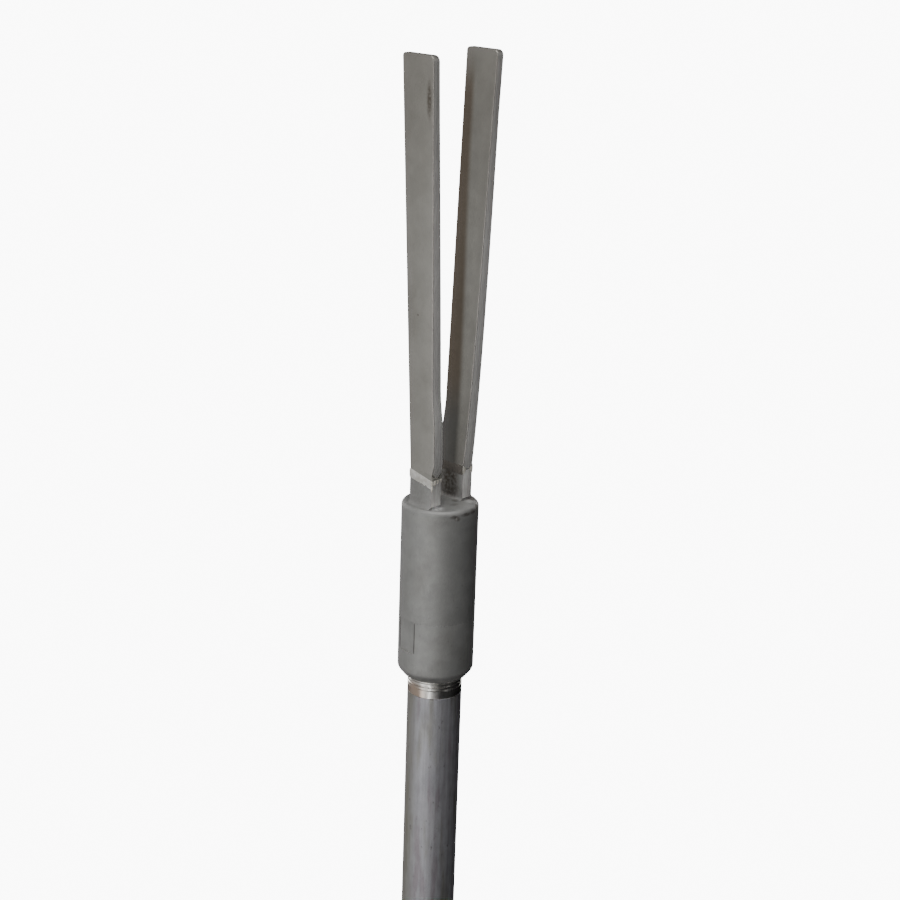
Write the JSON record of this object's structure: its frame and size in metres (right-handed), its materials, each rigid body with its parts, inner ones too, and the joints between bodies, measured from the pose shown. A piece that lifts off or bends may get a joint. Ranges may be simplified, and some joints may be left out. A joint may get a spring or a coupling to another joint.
{
  "type": "point level switch",
  "caption": "Vibrating fork point level switch: flat welded paddles on a coned sensor body, tube extension, threaded hexagon fitting and a swivelling round housing with a screw cover.",
  "frame": {"origin": "on the probe's axis, in the sealing plane of the process thread", "axes": "+Z along the probe towards the fork's tips; the paddles lie at -X and +X and the cable gland at +X"},
  "size_m": [0.1435, 0.1059, 0.742],
  "materials": {
    "blasted_steel": "bead-blasted stainless steel",
    "paddle_steel": "blasted stainless plate, ground along its edges",
    "weld_metal": "ground weld",
    "turned_steel": "turned stainless steel",
    "drawn_steel": "drawn and pickled stainless tube",
    "screw_steel": "plain stainless fasteners",
    "contact_brass": "rolled sheet",
    "gland_brass": "nickel plated",
    "housing_aluminium": "die-cast, powder coated",
    "seal_rubber": "moulded",
    "lead_rubber": "cast silicone",
    "insulator": "machined fluoropolymer",
    "piezo_ceramic": "pressed ceramic",
    "lead_sheath": "extruded sheath",
    "insert_plastic": "moulded, fine grain",
    "terminal_plastic": "moulded",
    "slider_plastic": "moulded",
    "lens_plastic": "clear tinted"
  },
  "bodies": {
    "probe": {"fork_body": "blasted_steel", "left_paddle": "paddle_steel", "right_paddle": "paddle_steel", "paddle_welds": "weld_metal", "adapter_sleeve": "blasted_steel", "threaded_nipple": "turned_steel", "extension_tube": "drawn_steel", "drive_bolt": "turned_steel", "pressure_ring": "turned_steel", "pressure_plate": "turned_steel", "insulating_discs": "insulator", "piezo_discs": "piezo_ceramic", "contact_discs": "contact_brass", "thrust_washer": "turned_steel", "clamp_nut": "screw_steel", "lead_plug": "lead_rubber", "sensor_leads": "lead_sheath", "lead_spacers": "insulator", "lead_socket": "insert_plastic", "process_fitting": "turned_steel", "process_gasket": "seal_rubber", "fitting_weld": "weld_metal", "neck_o_ring": "seal_rubber", "retaining_ring": "screw_steel"},
    "housing_head": {"housing": "housing_aluminium", "locking_screw": "screw_steel", "ground_screw": "screw_steel", "electronics_insert": "insert_plastic", "insert_screws": "screw_steel", "terminal_block": "terminal_plastic", "terminal_screws": "screw_steel", "signal_lens": "lens_plastic", "cover_o_ring": "seal_rubber", "gland_washer": "seal_rubber", "gland_body": "gland_brass", "gland_seal": "seal_rubber", "gland_cap_nut": "gland_brass", "plug_washer": "seal_rubber", "blanking_plug": "gland_brass"},
    "screw_cover": {"cover": "housing_aluminium"},
    "failsafe_switch": {"failsafe_slider": "slider_plastic"},
    "density_switch": {"density_slider": "slider_plastic"}
  },
  "joints": [
    {"name": "housing_turn", "type": "hinge", "parent": "probe", "child": "housing_head", "pos_m": [0, 0, -0.036], "axis": [0, 0, 1], "range_deg": [-165, 165]},
    {"name": "cover_off", "type": "slide", "parent": "housing_head", "child": "screw_cover", "axis": [0, 0, -1], "range_m": [0, 0.06]},
    {"name": "failsafe_slide", "type": "slide", "parent": "housing_head", "child": "failsafe_switch", "axis": [1, 0, 0], "range_m": [0, 0.004]},
    {"name": "density_slide", "type": "slide", "parent": "housing_head", "child": "density_switch", "axis": [1, 0, 0], "range_m": [0, 0.004]}
  ]
}
